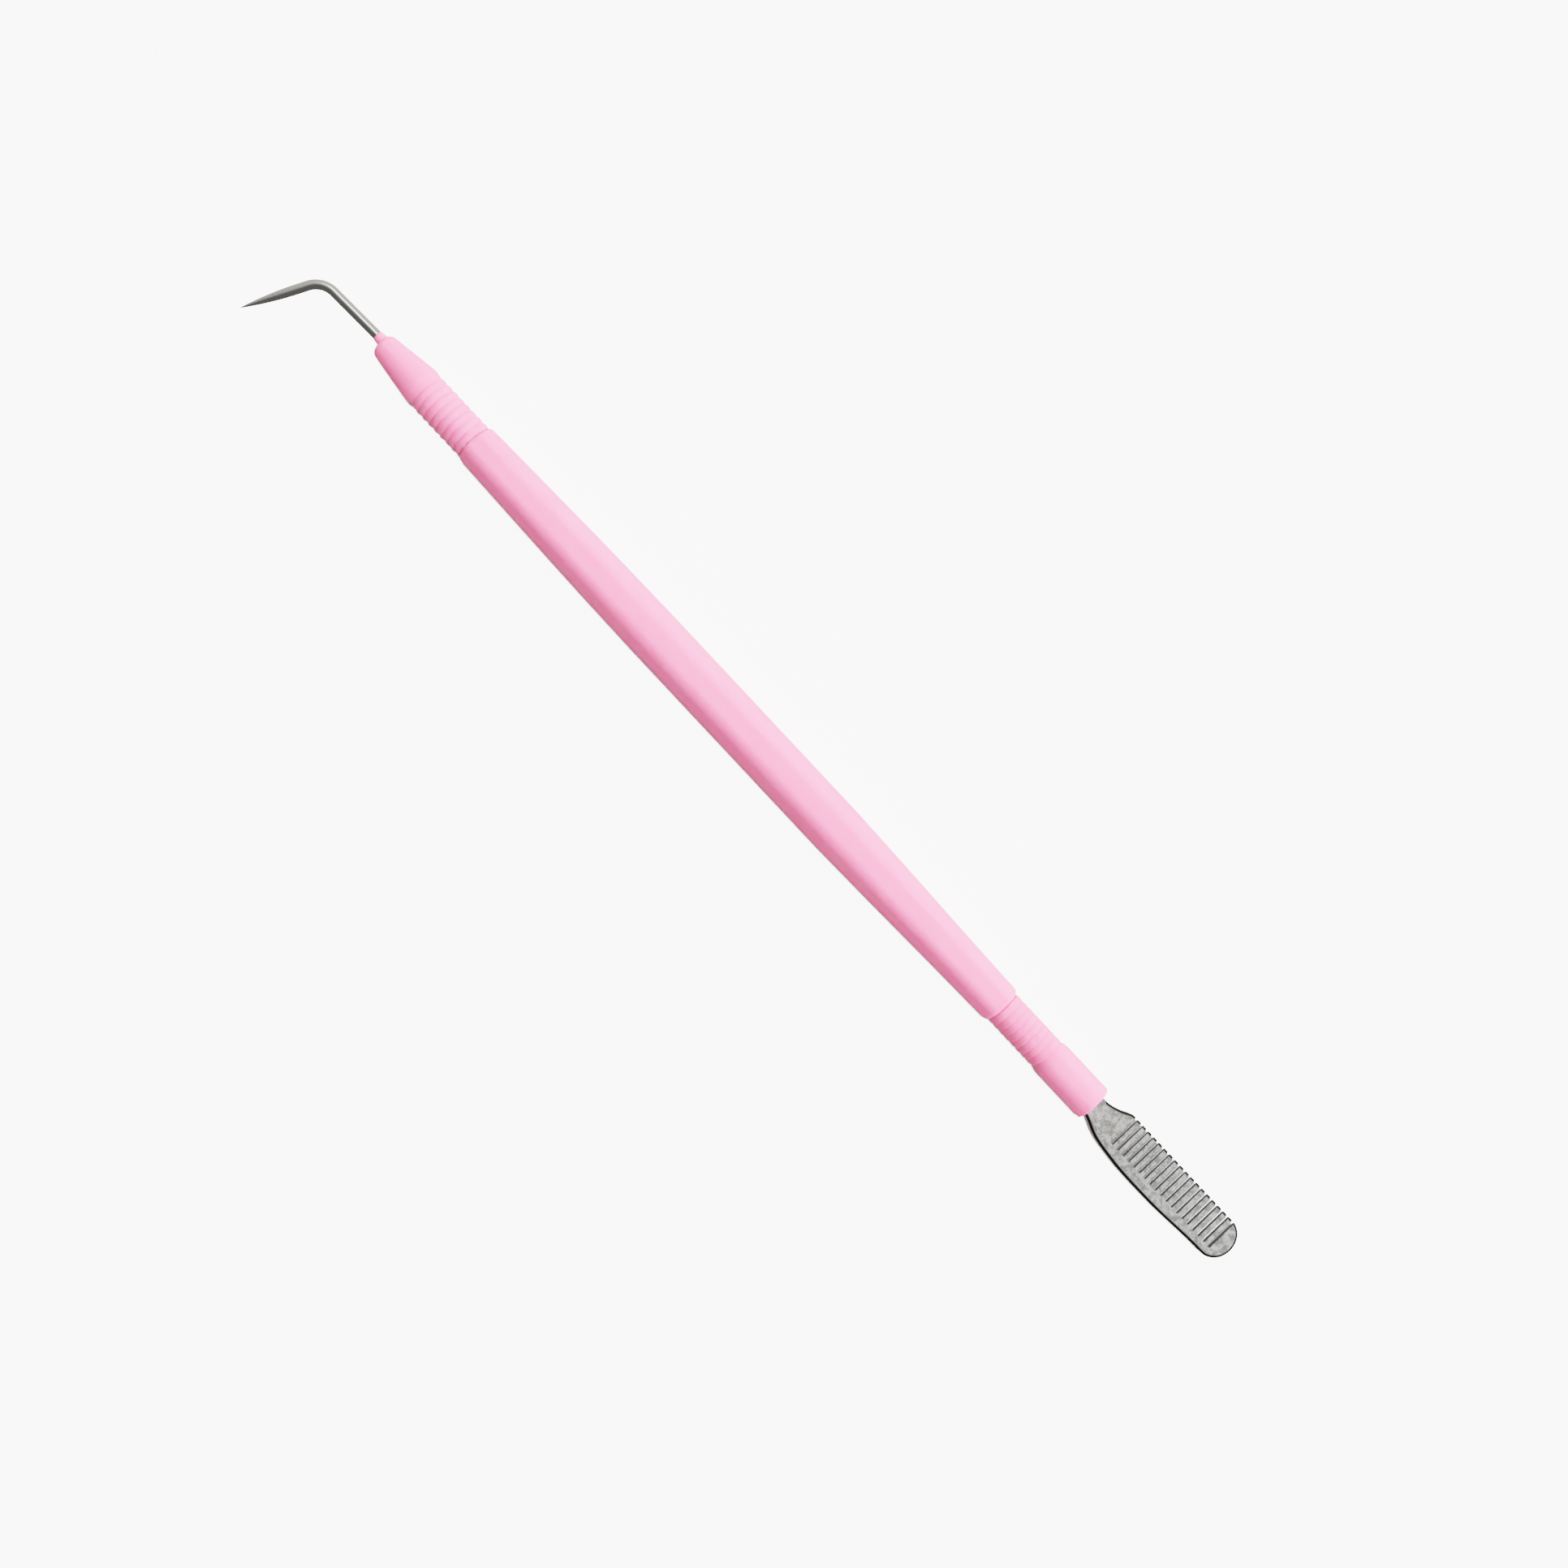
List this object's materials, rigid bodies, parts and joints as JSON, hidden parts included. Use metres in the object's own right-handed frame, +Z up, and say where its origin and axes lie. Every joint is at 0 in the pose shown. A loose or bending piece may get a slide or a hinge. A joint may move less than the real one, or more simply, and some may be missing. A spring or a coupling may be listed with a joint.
{
  "type": "double-ended lash tool",
  "caption": "Slim hexagonal pink plastic handle with ringed grips, a bent pointed steel wire pick at one end and a flat slotted steel comb at the other.",
  "frame": {"origin": "on the lower flat of the handle's barrel, within 0.2 mm of half way along the handle", "axes": "+X along the handle towards the comb, +Y towards the open ends of the comb's slots, +Z up from the flat that the handle lies on"},
  "size_m": [0.1553, 0.0121, 0.0058],
  "materials": {
    "pink_plastic": "injection moulded, soft satin gloss",
    "polished_wire": "drawn stainless wire, ground point, polished",
    "tumbled_plate": "stainless plate, tumbled to a fine mottled grey"
  },
  "bodies": {
    "root": {"handle": "pink_plastic", "pick": "polished_wire", "comb": "tumbled_plate"}
  },
  "joints": []
}
